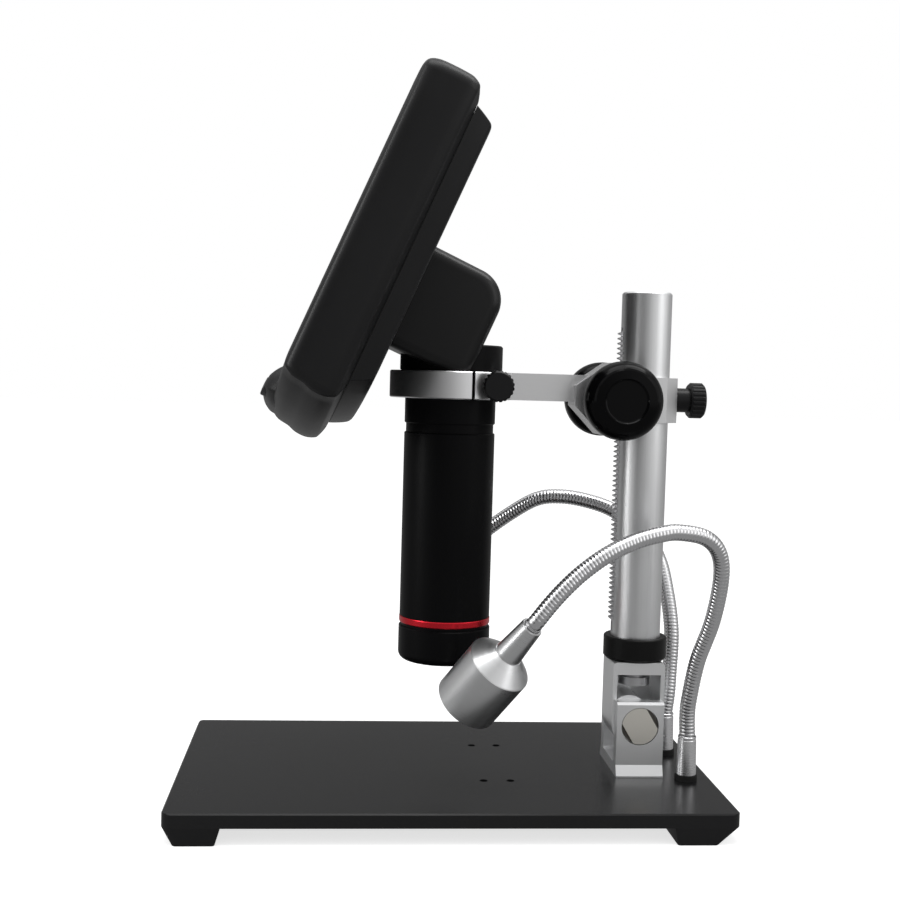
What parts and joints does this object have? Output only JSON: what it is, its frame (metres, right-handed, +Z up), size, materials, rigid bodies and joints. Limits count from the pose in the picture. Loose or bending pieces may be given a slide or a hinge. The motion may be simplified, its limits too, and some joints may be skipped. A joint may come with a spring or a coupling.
{
  "type": "lcd digital microscope",
  "caption": "Free-standing digital microscope: tilting screen head in a ring arm on a rack-and-pinion column, with gooseneck lamps on a flat base.",
  "frame": {"origin": "on the table, under the middle of the base plate's length and under the optical and column axes across it", "axes": "+Z up the column, +X along the base from the stage towards the column, +Y away from the user's left-hand side view"},
  "size_m": [0.2, 0.146, 0.2622],
  "materials": {
    "base_paint": "fine matt black powder coat",
    "foot_black": "matt moulded black",
    "fastener_steel": "plain zinc-plated steel",
    "bracket_aluminium": "satin anodised aluminium extrusion",
    "pin_nickel": "warm nickel plate",
    "grommet_rubber": "black rubber",
    "lamp_aluminium": "finely turned satin aluminium",
    "gooseneck_chrome": "chromed steel, wound strip",
    "lamp_glass": "clear moulded lens",
    "led_white": "white circuit board with a yellow emitter",
    "collar_black": "black anodised",
    "column_aluminium": "polished drawn aluminium",
    "rack_steel": "bright cut steel",
    "arm_aluminium": "polished aluminium",
    "bush_brass": "plain brass",
    "knob_black": "semi-gloss moulded black",
    "screw_black": "knurled black",
    "barrel_black": "satin black anodised",
    "ring_red": "satin red anodised",
    "housing_black": "fine satin moulded black",
    "button_black": "satin black",
    "screen_glass": "dark cover glass",
    "display_dark": "dark display panel",
    "board_green": "green circuit board",
    "optic_glass": "coated lens",
    "cell_black": "matt black anodised",
    "port_steel": "bright sheet steel"
  },
  "bodies": {
    "base": {"base_plate": "base_paint", "base_feet": "foot_black", "foot_screws": "fastener_steel", "clevis_bracket": "bracket_aluminium", "bracket_screws": "fastener_steel", "tilt_pin": "pin_nickel", "tilt_nut": "pin_nickel", "lamp_grommets": "grommet_rubber", "lamp_base_nuts": "fastener_steel", "front_lamp_socket": "lamp_aluminium", "rear_lamp_socket": "lamp_aluminium", "front_gooseneck": "gooseneck_chrome", "rear_gooseneck": "gooseneck_chrome", "front_lamp_ferrule": "lamp_aluminium", "rear_lamp_ferrule": "lamp_aluminium", "front_lamp_shell": "lamp_aluminium", "rear_lamp_shell": "lamp_aluminium", "lamp_lenses": "lamp_glass", "lamp_led_boards": "led_white"},
    "column": {"column_foot": "bracket_aluminium", "column_bolt": "fastener_steel", "column_collar": "collar_black", "column_rod": "column_aluminium", "rack_bar": "rack_steel", "rack_screws": "fastener_steel"},
    "carriage": {"carriage_housing": "arm_aluminium", "shaft_bushes": "bush_brass", "support_arm": "arm_aluminium", "arm_screws": "fastener_steel"},
    "focus_shaft": {"pinion_shaft": "rack_steel", "front_knob": "knob_black", "rear_knob": "knob_black"},
    "lock_screw": {"lock_screw": "screw_black"},
    "ring_screw": {"ring_screw": "screw_black"},
    "head": {"head_cap": "barrel_black", "barrel_body": "barrel_black", "neck_housing": "housing_black", "lcd_rear_cover": "housing_black", "lcd_front_frame": "housing_black", "display_panel": "display_dark", "screen_glass": "screen_glass", "main_board": "board_green", "board_screws": "fastener_steel", "key_board": "board_green", "sensor_board": "board_green", "port_socket": "port_steel"},
    "focus_sleeve": {"focus_sleeve": "barrel_black", "red_ring": "ring_red", "nose_cap": "barrel_black", "nose_window": "optic_glass"},
    "lens_cell": {"lens_cell": "cell_black", "objective_lens": "optic_glass"},
    "button_1": {"button_1": "button_black"},
    "button_2": {"button_2": "button_black"},
    "button_3": {"button_3": "button_black"},
    "button_4": {"button_4": "button_black"},
    "button_5": {"button_5": "button_black"}
  },
  "joints": [
    {"name": "column_tilt", "type": "hinge", "parent": "base", "child": "column", "pos_m": [0.0729, 0, 0.0302], "axis": [0, 1, 0], "range_deg": [0, 30]},
    {"name": "carriage_lift", "type": "slide", "parent": "column", "child": "carriage", "axis": [0, 0, 1], "range_m": [-0.04, 0.024]},
    {"name": "focus_turn", "type": "hinge", "parent": "carriage", "child": "focus_shaft", "pos_m": [0.0605, 0, 0.1532], "axis": [0, 1, 0], "range_deg": [-960, 580]},
    {"name": "lock_turn", "type": "hinge", "parent": "carriage", "child": "lock_screw", "pos_m": [0.0842, 0, 0.1538], "axis": [1, 0, 0], "range_deg": [0, 360]},
    {"name": "ring_screw_turn", "type": "hinge", "parent": "carriage", "child": "ring_screw", "pos_m": [0.014, -0.02, 0.1573], "axis": [0, 1, 0], "range_deg": [0, 360]},
    {"name": "head_swivel", "type": "hinge", "parent": "carriage", "child": "head", "pos_m": [-0.0015, 0, 0.1624], "axis": [0, 0, 1], "range_deg": [-60, 60]},
    {"name": "focus_sleeve_turn", "type": "hinge", "parent": "head", "child": "focus_sleeve", "pos_m": [-0.0015, 0, 0.1], "axis": [0, 0, 1], "range_deg": [-120, 120]},
    {"name": "lens_travel", "type": "slide", "parent": "head", "child": "lens_cell", "axis": [0, 0, 1], "range_m": [-0.0061, 0.0061]},
    {"name": "button_1_press", "type": "slide", "parent": "head", "child": "button_1", "axis": [0.9166, 0, -0.3997], "range_m": [0, 0.0006], "stiffness_N_per_m": 600},
    {"name": "button_2_press", "type": "slide", "parent": "head", "child": "button_2", "axis": [0.9166, 0, -0.3997], "range_m": [0, 0.0006], "stiffness_N_per_m": 600},
    {"name": "button_3_press", "type": "slide", "parent": "head", "child": "button_3", "axis": [0.9166, 0, -0.3997], "range_m": [0, 0.0006], "stiffness_N_per_m": 600},
    {"name": "button_4_press", "type": "slide", "parent": "head", "child": "button_4", "axis": [0.9166, 0, -0.3997], "range_m": [0, 0.0006], "stiffness_N_per_m": 600},
    {"name": "button_5_press", "type": "slide", "parent": "head", "child": "button_5", "axis": [0.9166, 0, -0.3997], "range_m": [0, 0.0006], "stiffness_N_per_m": 600}
  ],
  "couplings": [
    {"joint": "focus_turn", "follows": "carriage_lift", "rad_per_m": 416.67},
    {"joint": "lens_travel", "follows": "focus_sleeve_turn", "m_per_rad": 0.0028648}
  ]
}
